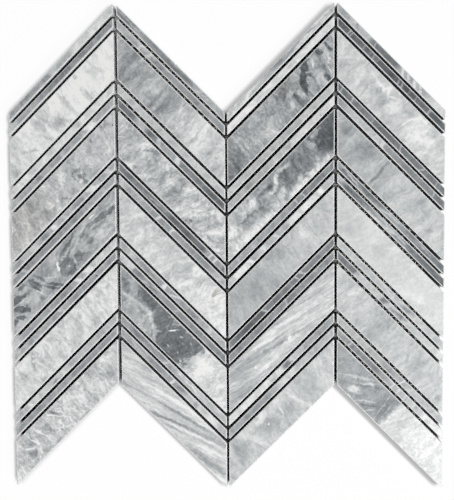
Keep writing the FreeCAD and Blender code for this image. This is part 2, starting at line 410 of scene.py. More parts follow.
# What each slat shows: its tones from left to right, its marks in mm from its
# middle (along the slat, then across it), and how cloudy or streaked it is
SLATS = {
    "c1_r1": dict(tones=[(-55, .86), (-33, .86), (-30, .92), (-20, .92), (-10, .89), (5, .94),
        (40, .94)], streak=.04, feather=80, cloud=.07, mottle=.055, hair=.04,
        marks=[patch(-49, -6, 2, 6, .72, 0, .8), patch(-40, 4, 5, 5, .79),
        vein((-38, -1), (-28, -8), 1.6, .78), patch(-17.5, 4, 2.2, 7, .74, 0, .9),
        vein((-13, 9), (-12, -2), 2.6, .74, .9), vein((-21, -2), (-17, -10), 2, .78, .9),
        patch(-6, -4.5, 5, 4, .70, 0, .7), patch(-9, 6, 2, 3, .80),
        patch(-1, 4, 2.4, 5, .98, 0, .7), vein((5, 9), (5.5, -8), 2.6, .81, .9),
        patch(15, -5.5, 1.6, 4, .98, 0, .8), patch(18.5, -5, 1.8, 4.5, .75, 0, .8),
        patch(21, 8, 1.4, 2, .78), patch(31, 0, 4, 5, .86, 0, .8), patch(45, 1, 5, 5, .95)]),
    "c1_r2": dict(tones=[(-55, .76), (-30, .76), (0, .74), (30, .76), (50, .76)], mottle=.105,
        stains=[(-35, 2, 26, 16, .22), (12, -5, 3, 3, .2)],
        marks=[patch(-43, 5, 2.2, 1.4, .90, 35), patch(-43, 2.5, 2.2, .8, .90),
        patch(-43, 0, 1, .8, .86), vein((-36, -4), (-31, 1.5), 1.2, .90),
        vein((-35, 1), (-32, -3), 1, .88), vein((-35, -3), (-37, -10), 1.4, .82),
        patch(-15, -2, 3, 2.4, .84), patch(-8.5, -3.5, 1, 1, .86),
        vein((-14, -8), (-9, -8.5), 1.4, .88), patch(-38, -8, 9, 2.5, .81),
        patch(-12, 7, 3, 2.5, .82), vein((-6, -5), (-1, -10), 1.2, .60),
        ring(12, -2.5, 3.6, 4.4, .58), patch(12.5, -3, 1.6, 1.4, .50),
        patch(15, -2.5, .8, .8, .82), patch(10.5, -6, 1.4, .9, .88),
        patch(12.5, -8.3, 1.6, 1.4, .56), patch(2.2, -6.3, 1.8, 1.5, .60),
        patch(33, -3.2, 1.1, .7, .48), patch(50, 4.2, .6, .5, .22, 0, .3),
        patch(49, 9.5, .7, .6, .22, 0, .3), patch(33.5, 7.5, .9, 1, .60),
        patch(15, 8, 3, 1.6, .64), patch(46, 8, 2.5, 1.8, .64), patch(3, 3.5, 4, 2, .80),
        patch(27, -2, 2, 3, .81), patch(35, -4.5, 3, 3.5, .81), patch(-22, 5, 5, 3, .70)]),
    "c1_r3": dict(tones=[(-55, .67), (0, .70), (30, .70), (50, .68)], mottle=.09, streak=.07,
        feather=8, swirl=5.0, marks=[patch(-44, -7, 12, 2.5, .73), patch(-30, 0, 4, 8, .71, 0, .8),
        patch(-10, 5, 7, 4, .71), patch(31, -5, 8, 3.5, .76, 0, .8),
        patch(-39, 4, 7, 2.4, .43, -8, .3), patch(-41, -1.8, 5.5, 2.2, .44, -38, .3),
        patch(-51, -4, 3.4, 2, .41, -40, .3), patch(-45.5, -5.5, 3, 1.2, .46, -40, .3),
        vein((-47, 2.5), (-34, 1.2), 1, .78), vein((-50, -1), (-40, -5.5), .9, .78),
        vein((-42, 3.5), (-38, -3), .7, .76), patch(-23.6, 3, 2.2, 5.6, .43, 6, .25),
        vein((-24.6, 7), (-23, 0), .8, .58), patch(-31, 8.6, 2.4, 1.2, .48),
        vein((-20, 8), (-17, 0), 1.6, .50), vein((-19.5, -1), (-14.5, -10), 1.8, .43, .3),
        vein((-16.5, -2), (-11.5, -10), 1.8, .44, .3), patch(-26, -5, 1.6, 1.6, .50),
        patch(-.5, -3, 6, 6.2, .45, 0, .2), patch(.5, -4, 1.8, 2.2, .53),
        patch(1.2, -3.4, .7, .6, .78), vein((-6.2, -1.4), (-2.4, 3.6), 1.5, .98, .3),
        vein((0, 3.4), (18, 9), 2.4, .47, .4), vein((2, .5), (14, 4.6), 1.4, .52),
        patch(10, -3.5, 4, 3, .46, 0, .25), patch(9, -4.5, 1.6, 1.2, .49),
        vein((16, 2), (26, 6), 1.8, .54), patch(34, 4.6, 9, 1.3, .45, -4, .3),
        patch(42, 2, 8, 1.5, .44, -6, .3), patch(33, .8, 5, 1, .50, -8),
        vein((31, 8.4), (35, 8.2), 1, .98), vein((28, 6.7), (50, 6.4), .7, .78),
        patch(22, -2, 3, 1.4, .58), vein((-16, 2), (-11, -1), 1.2, .80),
        vein((-29, 7), (-21, -9), .8, .80)]),
    "c1_r4": dict(tones=[(-50, .86), (-33, .86), (0, .87), (50, .87)], mottle=.065, streak=.05,
        feather=85, marks=[vein((-29.5, 0), (-22, 9.5), 2.2, .72), patch(-26, 4.5, .8, .8, .92),
        patch(-24, 7, .7, .8, .92), patch(-37, 2, 1.6, 7, .79), patch(-21, -1, 1.4, 7, .79),
        patch(-30, -9, 2.4, 1, .74), patch(15, 3, 2.4, 1.8, .79), patch(43, 5, 2, 1.4, .78),
        patch(41.5, 6.6, 1, .5, .97), patch(-8, 6, 6, 2, .82), patch(25, -6, 8, 2, .83),
        patch(2, -4, 4, 3, .83), patch(-2, -9, 2, 1.2, .76)]),
    "c1_r5": dict(tones=[(-55, .77), (-20, .78), (10, .80), (30, .78), (50, .79)], mottle=.12,
        streak=.05, feather=80, hair=.05, marks=[vein((-36.5, 3.5), (-32.5, -1.5), 1.8, .96),
        patch(-35, -3.5, 3, 2.2, .62), patch(-30, 2.5, 2.2, 3, .64),
        patch(-27, -7.5, 2.6, 1.5, .64), vein((-29.5, 9.5), (-27.5, -5), .9, .93),
        vein((-23.5, 9.5), (-21, -.5), 1.1, .94), vein((-12, 10), (-2, -2.5), 1.1, .94),
        vein((-8.5, 10), (-1, 1), .9, .91), vein((-8, 10), (-6, 4), 2.2, .62),
        patch(-7.5, -2, .8, 1.8, .96), vein((-18, 3), (-13, -4), 2, .70),
        vein((-14, -2), (-1, -9), .9, .92), patch(-16, -9, 4, 1.2, .64),
        patch(-53, -7, 9, 4, .90, 0, .9), patch(8, -9.5, 5, 1.2, .68), patch(22, 7, 6, 1.6, .76),
        patch(38, -7, 5, 2, .76)]),
    "c2_r1": dict(tones=[(-55, .66), (-45, .62), (-40, .60), (-28, .67), (-20, .71), (-12, .65),
        (-3, .65), (1, .75), (12, .78), (25, .84), (35, .79), (50, .80)], streak=.06, feather=88,
        mottle=.08, hair=.02, marks=[patch(-42, 0, 2.4, 9, .56, 0, .9),
        patch(-32, 0, 1.6, 9, .60, 0, .9), patch(-11.5, 0, 1.3, 10, .56, 0, .9),
        patch(-5.5, 0, 1.8, 10, .56, 0, .9), patch(-36, 2, 1.4, 6, .69, 0, .9),
        patch(-20, 1, 2.6, 8, .72, 0, .9), patch(-8.4, -7, 1.2, 1.2, .80),
        patch(13, -9, 5, 2, .70, 0, .8), patch(36.5, -2, 1.4, 2.6, .68, 0, .7),
        patch(23, 0, 6, 7, .91, 0, .9), vein((3, 9), (8, -3), 1.4, .84, .8)]),
    "c2_r2": dict(tones=[(-55, .78), (0, .79), (50, .78)], cloud=.22, mottle=.13, hair=.03,
        marks=[patch(-4, 1, 3, 3, .86, 0, .8), patch(-10, -8, 3, 2, .86),
        patch(13, 8, 3, 1.5, .85), patch(20, -2, 2.4, 5, .87, 0, .8), patch(-24, 8, 3, 1.8, .65),
        patch(3, 2, 2.4, 6, .66, 0, .8), vein((-29.5, 2.5), (-22, 9.5), 1, .58),
        patch(24, -7, 1.4, .9, .58), patch(-26, -7, 1.5, 1, .58), patch(40, -7, 2, 1, .62),
        patch(-40, 2, 4, 4, .83, 0, .8), patch(32, 2, 3, 6, .70, 0, .8)]),
    "c2_r3": dict(tones=[(-55, .82), (-10, .84), (20, .86), (50, .90)], cloud=.16, mottle=.065,
        hair=.02, stains=[(33, 6, 1.1, 4, .5), (22.5, 5, .8, 4, .3)],
        marks=[ring(-24, 6, 5.5, 5, .78, .3), patch(-24, 7, 2, 1.4, .80),
        patch(0, 8, 4, 2, .76, 0, .8), patch(10, 2, 3, 5, .79, 0, .9),
        patch(-42, -2, 4, 5, .78, 0, .9), patch(-4, -6, 5, 3, .82, 0, .9),
        vein((31, 9.5), (33, 3), .9, .74), vein((35, 9.5), (33, 3), .9, .76),
        vein((22, 8), (24, -6), .8, .79)]),
    "c2_r4": dict(tones=[(-55, .66), (-36, .63), (-20, .64), (15, .68), (20, .85), (50, .87)],
        bend=3.0, mottle=.09, marks=[patch(-28, -6, 9, 4, .71, -8, .8),
        patch(-46, 3, 6, 2, .49, -30), patch(-42, -3, 2.6, 2.6, .55),
        vein((-40, 8.5), (-6, 6.5), 8, .43, .25), patch(-14, 3.5, 9, 5.5, .43, -28, .3),
        patch(3.5, 0, 13.5, 12, .40, 0, .2), patch(-4, -6, 6, 5, .41, -35, .25),
        patch(12, 7, 6, 4, .42, 0, .25), vein((-47, -2.5), (-33, 1.4), 2, .78, .8),
        vein((-36, 1), (-22, 1.6), 2, .80, .8), vein((-25, 1.8), (-13, -3.6), 2, .79, .8),
        patch(21, -4, 3, 6, .75, 0, .9), vein((-15, -3), (-7, -10), 2.2, .78, .8),
        patch(-20, -8, 5, 2, .70), vein((-6, 1.3), (-2.2, 6), 1, .90, .3),
        patch(2, 4.4, 1, .6, .72), patch(6, 2, .8, .6, .68), patch(7.5, -4, .8, .5, .76),
        patch(0, -5.5, .9, .6, .72), patch(12.5, -7, 1, .6, .78), patch(10, 5, .7, .5, .66),
        vein((17.5, 6), (19.5, -10), 1.4, .77), patch(27, 0, 5, 6, .96, 0, .8)]),
    "c2_r5": dict(tones=[(-55, .79), (-30, .83), (0, .86), (40, .89)], streak=.14, feather=17,
        cloud=.05, mottle=.055, hair=.01, bend=2.0, swirl=3.0,
        marks=[patch(-30, 7, 14, 3, .77, 12, .8), vein((-40, -8.5), (-8, 1), 2.2, .68, .9),
        vein((-12, -1), (30, 9), 2, .63, .9), vein((-15, -11), (12, -.5), 2.2, .63, .9),
        vein((8, -2), (38, 8.5), 2.2, .66, .9), vein((-5, -10), (12, -5), 2, .67, .9),
        vein((18, -9.5), (54, -4), 5, .66, .8), vein((-25, 2), (5, 9.5), 2, .95, .9),
        vein((0, -7), (32, 3.5), 2, .95, .9)]),
    "c3_r1": dict(tones=[(-58, .48), (-50, .48), (-40, .56), (-27, .66), (-20, .65), (0, .64),
        (10, .60), (25, .66), (50, .70)], mottle=.13, streak=.05, feather=75,
        stains=[(9, 7, 8, 4, .25)], marks=[patch(-45, -2, 7, 6, .47, 0, .8),
        vein((-34, 8), (-35.5, -9), 1.6, .72, .9), vein((-31.5, 8), (-31, -8), 2, .78, .9),
        vein((-28, 8), (-27, -4), 1, .58), patch(-12, -4, 8, 4, .74, 0, .8),
        patch(7, 6, 5, 3, .54, 0, .7), vein((18.5, -6), (22.5, 4), 4, .33, .25),
        vein((21, 1), (27, 7.5), 4, .34, .25), vein((25, 5), (34, 11), 3.8, .36, .25),
        vein((26, 6), (28, -3), 1.2, .44), patch(12, -5, 1.9, 5.6, .40, -8, .25),
        vein((14, -2), (17, 2), 1.8, .46), patch(34, -7.5, 1.4, 3.4, .38, 8, .3),
        patch(41.5, 8, 1.7, 2.8, .38, 0, .3), patch(47.4, 6, 1, 4, .42, -8, .3),
        patch(36, 0, 3, 3, .56), vein((31, 3), (37, 8.5), 1.6, .84),
        patch(30, -3, 3, 4, .78, 0, .7), patch(16, -3, 1.6, 3.6, .80),
        vein((4, -6), (9, -2), 3, .78), vein((37, -9), (39, -2), 1.4, .88),
        patch(11, 2, 3, 1.5, .76), vein((40, -2), (46, 2), 1.6, .80)]),
    "c3_r2": dict(tones=[(-55, .81), (-38, .78), (-15, .67), (0, .58), (12, .52), (22, .58),
        (32, .48), (50, .34)], bend=6.0, mottle=.12, marks=[patch(-24, -3, 12, 5, .62, -8, .6),
        vein((-36, 1), (-14, -1), 2, .54), patch(-22, 6.5, 5, 3, .84, 0, .7),
        patch(-16, 8.8, 8, 1.4, .64), vein((-14, 4.5), (-3, 5.5), 3, .44),
        vein((-10, 1.5), (-2, 3), 2, .82), vein((-4, 3.5), (5, 8.8), 3, .86),
        vein((4, 8.8), (14, 5), 2.6, .80), patch(8, -1, 8.5, 5.6, .43, -10, .35),
        patch(21, 3.5, 6, 4.5, .50, -30, .5), patch(13, -4.5, 3, 1.4, .68, 30),
        patch(-4, -4, 2.6, 4, .84, -35), vein((15, -5), (22, -8.5), 2.4, .84),
        patch(28, -3, 3, 4, .58), patch(43, 0, 10, 9, .31, 0, .3), patch(39, 7.6, 4, 1.5, .66, 8),
        patch(31, 4, 2, 4, .64), patch(-33, -8.6, 16, 3, .92, 0, .9),
        patch(12, -9.6, 24, 3, .90, 0, .9), patch(-42, 1, 5, 3, .88)]),
    "c3_r3": dict(tones=[(-55, .73), (-35, .74), (-20, .71), (0, .74), (15, .77), (50, .81)],
        mottle=.055, hair=.01, cloud=.09, marks=[patch(-22, -1, 8, 5.5, .65, 0, .9),
        patch(-42, 4, 6, 4, .70, 0, .9), patch(23, 1, 2.6, 6, .88, 0, .9),
        vein((29, 9), (28, -9), .8, .70), patch(5, -5, 8, 3, .79, 0, .9),
        patch(2, 5, 6, 3, .70, 0, .9)]),
    "c3_r4": dict(tones=[(-55, .78), (0, .81), (50, .84)], streak=.15, feather=-13, cloud=.06,
        mottle=.055, hair=.01, bend=2.0, swirl=3.0, marks=[vein((-36, 7), (-14, 2), 2.2, .62, .9),
        vein((-20, 3), (8, -4), 2.4, .58, .9), vein((-38, .5), (-21, -4.6), 2.4, .62, .9),
        vein((-50, -6), (-30, -10.5), 3, .64, .9), patch(4, -3.5, 1.4, .9, .96),
        patch(-25, -1, 1, .7, .94), vein((6, 7), (40, -1), 2.4, .94, .9),
        vein((-30, -3), (-8, -8), 2.4, .94, .9), vein((-25, 9), (0, 4), 2, .92, .9)]),
    "c3_r5": dict(tones=[(-55, .79), (-10, .79), (50, .80)], cloud=.09, mottle=.065, hair=.02,
        marks=[patch(-34, 2, 5, 6, .71, -20, .9), patch(-12, 0, 7, 5, .68, -30, .8),
        patch(6, -2, 8, 5, .69, -20, .8), patch(24, 2, 6, 5, .72, -30, .9),
        vein((-27, 8.5), (-20, -9), 3, .87, .9), vein((4, 7), (-1, -3), 1.4, .86),
        vein((12, 7), (16, -8), 2.6, .87, .9), patch(-12, 7, 12, 1.8, .87, 0, .7),
        patch(-11, 1, .9, .8, .97), patch(36, -4, 4, 4, .84, 0, .9)]),
    "c4_r1": dict(tones=[(-55, .83), (-25, .83), (0, .81), (50, .83)], cloud=.11, mottle=.06,
        hair=.02, marks=[patch(-8, 1, 9, 6, .75, 0, .9), patch(12, 0, 2, 7, .70, 0, .8),
        vein((-21, 6.5), (-11, 5), 1.8, .94, .9), vein((-12, 4), (-8, 8.5), 1.7, .93, .9),
        vein((-9.5, 8.5), (-5, 2), 1.7, .93, .9), vein((-7, 3), (0, 7), 1.6, .92, .9),
        patch(-13, 2, 2, 2.4, .68), patch(-5, -3.5, 2, 2.4, .70), patch(2, 0, 4, 3.6, .92, 0, .9),
        vein((-20, 0), (-18, -10), 1, .72), patch(21.5, .5, 8, 7, .86, 0, .9),
        vein((12.5, -5), (14, 4), 1.4, .95, .8), vein((13.5, 2), (19, 8.5), 1.5, .97, .8),
        vein((17, 8.2), (26, 8), 1.4, .94, .8), vein((28, 7), (30, -3), 1.2, .92, .9),
        patch(24, -1, 5, 5, .93, 0, .9), vein((33, 9), (35, -8), 1.2, .90, .8),
        patch(-38, -2, 6, 5, .78, 0, .9)]),
    "c4_r2": dict(tones=[(-55, .71), (-20, .72), (0, .77), (20, .79), (50, .79)], cloud=.08,
        mottle=.065, hair=.02, streak=.05, feather=88, marks=[patch(-27, 4, 5, 6.5, .58, 0, .9),
        patch(-44, 5, 3, 4, .62, 0, .9), patch(-36.5, 4, 1.8, 6, .76, 0, .9),
        patch(-17, -3, 5, 6, .77, 0, .9), vein((-10.6, 10), (-10.4, -10), 2, .57, .8),
        patch(-6, 2, 2, 8, .70, 0, .9), patch(38, -3, 2, 1.6, .66, 0, .8),
        patch(6, 0, 6, 7, .79, 0, .9), patch(22, 5, 5, 3, .72, 0, .9)]),
    "c4_r3": dict(tones=[(-55, .84), (0, .86), (50, .87)], mottle=.04, hair=.01, cloud=.06,
        marks=[patch(-34, -1, 4, 6, .79, -25, .9), patch(-8, 3, 4, 5, .83, -25, .9),
        patch(10, 4, 6, 2, .83, 0, .9), patch(28, -4, 6, 3, .90, 0, .9)]),
    "c4_r4": dict(tones=[(-55, .78), (0, .78), (50, .79)], cloud=.08, mottle=.055, hair=.02,
        streak=.05, feather=88, marks=[patch(-7, -2, 4.5, 9, .69, 0, .9),
        patch(24, 2, 3.6, 10, .70, 6, .9), patch(-33, 0, 8, 8, .81, 0, .9),
        patch(9, -3, 6, 6, .80, 0, .9), patch(-18, -4, 2, 5, .74, 0, .9),
        patch(48, -6, 2, 1.6, .70)]),
    "c4_r5": dict(tones=[(-55, .66), (-20, .64), (-1.5, .61), (1.5, .85), (30, .88), (50, .88)],
        bend=2.5, cloud=.08, mottle=.08, hair=.02, marks=[vein((-42, -4), (-21, 9.5), 1.6, .78),
        vein((-36, -6), (-17, 7), 1.4, .56), vein((-30, -1), (-18, 9.5), 1.2, .76),
        patch(-28, -4.5, 4.5, 2.4, .88, 15, .5), patch(-22, 5.4, 1.6, 1.2, .88),
        vein((-22, -9.5), (-12, -1), 1.4, .80), vein((-18, -9), (-10, -3), 1.2, .50),
        vein((-14, -10), (-9, -5), 1, .80), patch(-27, -10, 2.4, .8, .90),
        patch(-5, 0, 4, 10, .55, 4, .7), vein((-8.5, 9), (-5, -9), 1, .72),
        vein((-4, 9), (-2, -8), .8, .68), patch(30, 0, 12, 7, .90, 0, .9),
        vein((12, 8), (4, -6), 1.2, .80, .9)]),
}

for number, (place, look) in enumerate(SLATS.items(), start=1):
    node = f"wide_slat_{place}"
    look = dict(look)
    halves = [(look.pop("tones"), look.pop("marks"))]
    dress(node, marble(f"polished_marble_slat_{place}", node, number, SLAT_HALF_WIDTH,
                       halves, **look))


# Narrow strips.
# Forty strips of the same marble, sawn and polished in the same way, laid in
# pairs above each slat. Most are darker than the slats, and each has its own tones.

STRIP_HALF_WIDTH = 2.2
FIRST_STRIP_SEED = 41


def band(at, half_width, tone, slant=2.0):
    """A soft band that crosses a strip, and comes down further right by the slant."""
    return vein((at - slant, 5), (at + slant, -5), 2 * half_width, tone, 0.55)


# Of each pair, the tones and marks of the upper strip and then of the lower one
STRIPS = {
    "c1_r1": ([(-47, .63), (-12, .63), (-6, .70), (8, .72), (15, .84), (48, .82)],
        [band(-7, 2.4, .76), patch(-30, 1, 4, 1, .54)], [(-42, .78), (-38, .68), (-22, .64),
        (-15, .53), (15, .53), (24, .57), (48, .59)], [patch(-28, 0, 1.5, 3, .72),
        patch(0, 1, 6, 1, .50)]),
    "c1_r2": ([(-47, .86), (48, .86)], [band(-27, 2, .78), band(-10, 2, .78), band(14, 2, .80)],
        [(-47, .67), (20, .66), (34, .70), (48, .66)], [band(25, 2.6, .93, 4),
        patch(-20, 0, 5, 1.2, .60)]),
    "c1_r3": ([(-47, .68), (48, .70)], [band(-27, 2.4, .84, 3), band(-8, 1.6, .86, 3),
        band(1, 1, .80), band(26, 2.4, .92, 4), band(42, 1.6, .86, 3), patch(-17, 0, 3, 2, .56),
        patch(14, 0, 4, 2, .58)], [(-47, .61), (5, .58), (11, .53), (17, .62), (26, .68),
        (48, .68)], [patch(-30, 0, 3, 1.5, .54), band(-36, 1, .74)]),
    "c1_r4": ([(-47, .76), (-42, .78), (-38, .66), (-5, .61), (2, .58), (10, .66), (26, .74),
        (30, .82), (48, .82)], [band(12.5, 1.4, .88), band(22, 2.4, .92, 4),
        patch(-20, 0, 5, 1.5, .62)], [(-47, .70), (-28, .68), (-8, .64), (0, .68), (10, .61),
        (28, .62), (36, .60), (48, .60)], [band(-3, 1.4, .76), patch(29, 0, .8, .6, .30, 0, .3),
        patch(-31, 0, 3, 3, .60)]),
    "c1_r5": ([(-47, .67), (-36, .70), (-30, .82), (-20, .80), (0, .77), (6, .71), (48, .73)],
        [band(-33, 1.4, .88), band(-3, 1.2, .84), patch(-10, -1, 3, .8, .62)], [(-47, .60),
        (48, .61)], [patch(10, 0, 6, 1.4, .55)]),
    "c2_r1": ([(-47, .54), (-34, .54), (-28, .66), (-20, .56), (0, .50), (16, .52), (20, .64),
        (30, .66), (48, .64)], [vein((-44, 1), (-26, -.5), 1, .74, .9),
        vein((-8, 1.4), (14, .6), 1, .64, .9), vein((18, -1), (40, .8), 1.2, .76, .9),
        patch(6, -1, 9, 1, .44, 3, .8)], [(-47, .68), (-20, .66), (7, .66), (20, .60), (48, .58)],
        [band(-26.5, 1, .82, -2), band(-18.5, 1.2, .80, -2), patch(-10, 0, 4, 1.6, .58)]),
    "c2_r2": ([(-47, .77), (48, .78)], [patch(-20, 0, 5, 2, .74), patch(22, 0, 4, 2, .81)],
        [(-47, .47), (-34, .42), (-31, .62), (-23, .63), (-20, .46), (-13, .46), (-10, .61),
        (2, .59), (10, .51), (30, .46), (36, .40), (46, .40), (48, .58)], [band(-11, 1.8, .80, 3),
        band(5.5, 2, .82, 3), band(-27, 2.2, .72, 4)]),
    "c2_r3": ([(-47, .44), (-26, .47), (-4, .48), (0, .37), (28, .35), (31, .60), (38, .62),
        (48, .50)], [band(34, .7, .84, 0), band(38, .6, .84, 0),
        vein((-24, -.6), (-6, .8), 1.2, .66, .9), patch(18, 0, 6, 1.2, .38)], [(-47, .74),
        (-36, .71), (-22, .63), (-5, .65), (8, .63), (20, .55), (32, .55), (38, .70), (48, .70)],
        [band(-12, 1, .86, -2), band(-.5, 1, .88, 1), patch(-28, 0, 5, 1.2, .66)]),
    "c2_r4": ([(-47, .66), (27, .65), (31, .74), (40, .74), (43, .68), (48, .68)],
        [band(-8, 1.3, .88, 0), vein((-2, -2), (6, 2), 1.6, .86, .8), patch(-38, 0, 4, 1.6, .74),
        patch(-25, 0, 4, 1.4, .58), patch(18, 0, 4, 1.4, .58), band(33, 1.4, .80)], [(-44, .85),
        (-37, .84), (-35, .58), (-33, .56), (-16, .60), (5, .58), (30, .54), (36, .50), (48, .54)],
        [vein((-30, -2.4), (-13, 2), 1.4, .74), patch(-30, 0, 4, 1.6, .52)]),
    "c2_r5": ([(-47, .60), (-12, .62), (-5, .65), (5, .67), (20, .70), (48, .72)],
        [band(-7, .8, .80, -3), vein((-40, -.8), (-14, .4), 1, .56, .9),
        vein((0, 1), (24, -.6), 1, .82, .9)], [(-47, .60), (-30, .58), (-10, .62), (8, .62),
        (12, .76), (28, .80), (32, .90), (38, .88), (41, .73), (48, .72)],
        [vein((-42, 1), (-26, -.8), 1, .72, .9), band(-1, 1, .84, -1.5), patch(5, 0, 3, 1.6, .57),
        band(20, 1.6, .66, 3)]),
    "c3_r1": ([(-47, .76), (-15, .76), (-10, .68), (10, .68), (20, .74), (48, .77)],
        [vein((-14, 1), (10, -.4), 1.6, .58, .9), vein((-36, -1), (-18, 1), 1.2, .86, .9),
        vein((6, -1.6), (30, .4), 1.2, .84, .9), vein((14, 1.4), (36, 0), 1, .66, .9)],
        [(-47, .88), (48, .88)], [patch(12, 0, 5, 1.6, .82), band(-30, 2, .94, 1)]),
    "c3_r2": ([(-47, .76), (4, .76), (8, .70), (14, .72), (20, .77), (48, .77)], [], [(-47, .73),
        (-20, .71), (0, .78), (10, .86), (48, .88)], [patch(-28, 0, 4, 1.6, .65),
        patch(6, 0, 3, 1.4, .73)]),
    "c3_r3": ([(-47, .64), (0, .62), (10, .58), (26, .51), (40, .51), (48, .56)],
        [band(14, .5, .76, 1), band(20, .5, .74, 1), vein((-40, .8), (-20, -.4), 1, .72, .9)],
        [(-47, .74), (-43, .78), (-40, .92), (-33, .92), (-28, .74), (5, .72), (10, .88),
        (26, .92), (33, .78), (48, .74)], [band(-27, 1.2, .90, 3), band(-15, 1.6, .82, 3),
        band(-4, .9, .86), band(36, 1.4, .90, 3), band(18, .8, .80, 3)]),
    "c3_r4": ([(-47, .53), (-42, .47), (-38, .35), (-18, .35), (-14, .48), (0, .48), (20, .50),
        (48, .50)], [band(-15, .6, .72), band(14.5, .5, .76), band(19, .6, .74, 3)], [(-47, .54),
        (48, .55)], [band(4, .6, .70, -2.5)]),
    "c3_r5": ([(-47, .87), (-10, .88), (-2, .81), (10, .83), (16, .75), (22, .65), (40, .63),
        (48, .70)], [patch(5, 0, 3.4, 2.2, .48, 0, .4), patch(-8, -1, 3, 1, .78)], [(-47, .63),
        (-8, .62), (-3, .76), (4, .83), (14, .79), (20, .72), (48, .74)],
        [patch(-25, 0, 6, 1.4, .60)]),
    "c4_r1": ([(-47, .66), (-38, .68), (-34, .78), (-20, .76), (-17, .50), (-8, .42), (4, .46),
        (8, .66), (28, .68), (34, .82), (48, .84)], [band(-30, 1, .62, 3), band(10, .8, .84, 4),
        band(15, .8, .86, 5), band(20, .8, .84, 5), band(25, .8, .82, 4), band(-14, .5, .66, 1)],
        [(-47, .35), (-37, .35), (-24, .39), (-16, .43), (-10, .39), (-6, .31), (4, .33),
        (10, .37), (30, .37), (36, .41), (48, .39)], [band(-37.5, .6, .66, 0),
        band(-35.5, .5, .62, 0), band(-24, .5, .56, 1), band(-16, .7, .60, 1), band(6, .6, .62, 1),
        band(9, .6, .62, 1), band(15, .6, .58, 1), band(21, .5, .56, 1), band(33, .8, .70, 0),
        patch(-2, 0, 5, 3, .27), patch(13, 0, 2, 3, .32), patch(38, 0, 4, 3, .34)]),
    "c4_r2": ([(-47, .45), (0, .44), (20, .45), (48, .45)], [band(-44, .5, .66, 1),
        band(-35, .6, .66, 1), band(-16.5, .5, .66, 0), band(8, .6, .66, 2.5),
        band(27, .5, .68, -3), band(40, .5, .60, 1), patch(-8, 0, 4, 1.4, .44)], [(-44, .65),
        (-40, .71), (-30, .76), (-12, .74), (-6, .61), (0, .54), (20, .50), (48, .49)],
        [band(-8, 1.2, .84, 3), patch(24, 0, 5, 1.4, .54), band(37, .5, .68)]),
    "c4_r3": ([(-47, .59), (-36, .49), (-20, .43), (-8, .53), (4, .56), (18, .47), (48, .41)],
        [vein((-34, -1), (-12, 1), 1.8, .44, .7), vein((-46, 1.2), (-20, -1.6), 1, .74, .9),
        vein((-10, -1), (10, 1), 1.2, .74, .9), vein((24, 1), (36, -.4), 1, .60, .9)], [(-47, .66),
        (-38, .53), (-20, .50), (-10, .61), (10, .57), (20, .48), (30, .40), (48, .39)],
        [vein((-42, 0), (-22, 1), 3, .44, .4), vein((-24, -1.8), (2, -.4), 1.4, .84, .8),
        vein((-14, 1.4), (12, 0), 1, .80, .9), vein((8, -1.5), (20, -1.8), 1, .78, .9)]),
    "c4_r4": ([(-47, .74), (48, .75)], [vein((8, -1), (20, 1), 1.8, .58, .7),
        vein((-10, 1), (6, -.6), 1, .82, .9)], [(-47, .46), (-32.5, .46), (-31, .76), (-8, .76),
        (10, .70), (25, .76), (48, .82)], [patch(-6, 0, 2.4, 4, .52, 0, .4),
        vein((0, -1), (14, 1.4), 1.6, .56, .7)]),
    "c4_r5": ([(-47, .74), (-8, .72), (-4, .63), (8, .65), (14, .71), (48, .74)],
        [band(11, .5, .88, -2)], [(-47, .60), (-37, .60), (-34, .55), (-12, .57), (-7, .68),
        (0, .72), (27, .73), (31, .90), (48, .92)], [band(-36, .6, .78, 0), band(2, .8, .86, 1),
        band(7, .6, .84, 1), band(13, .8, .84, 1), band(21, .8, .82, 1)]),
}

# Some pairs are stained with iron, and some have long streaks at an angle
STRIP_STAINS = {"c2_r4": [(-19, 0, 5, .6, .6)], "c3_r2": [(0, 0, 50, 8, .10)],
                "c4_r5": [(-20, 0, 25, 8, .12)]}
STRIP_STREAKS = {"c2_r1": (.10, 4), "c2_r5": (.10, -4), "c3_r1": (.10, 6), "c4_r3": (.12, 4)}

for number, (place, looks) in enumerate(STRIPS.items(), start=FIRST_STRIP_SEED):
    node = f"strip_pair_{place}"
    streak, feather = STRIP_STREAKS.get(place, (0.0, 75.0))
    dress(node, marble(f"polished_marble_strips_{place}", node, number, STRIP_HALF_WIDTH,
                       [looks[:2], looks[2:]], cloud=.09, mottle=.05, hair=.03, bend=2.0,
                       streak=streak, feather=feather, stains=STRIP_STAINS.get(place, ())))


# Net.
# The stones are glued face down on an open net of glass yarn, woven over and
# under and dipped in a white size, which keeps the crossings from slipping.

GLASS_SIZE_WHITE = "#f3f2ec"
GLASS_SIZE_GREY = "#d9d8d1"
ADHESIVE_GREY = "#333436"
PITCH_ALONG_X = 4.1
PITCH_ALONG_Y = 3.7
YARN_WIDTH = 0.55
YARN_THICKNESS = 0.25
YARN_SIDES = 6

# Where dark adhesive lies on the yarns, as middles and half sizes in mm: under
# most of the second column, and at the top of the fourth
ADHESIVE_AREAS = ((-45, -45, 75, 125), (104, 108, 50, 42))


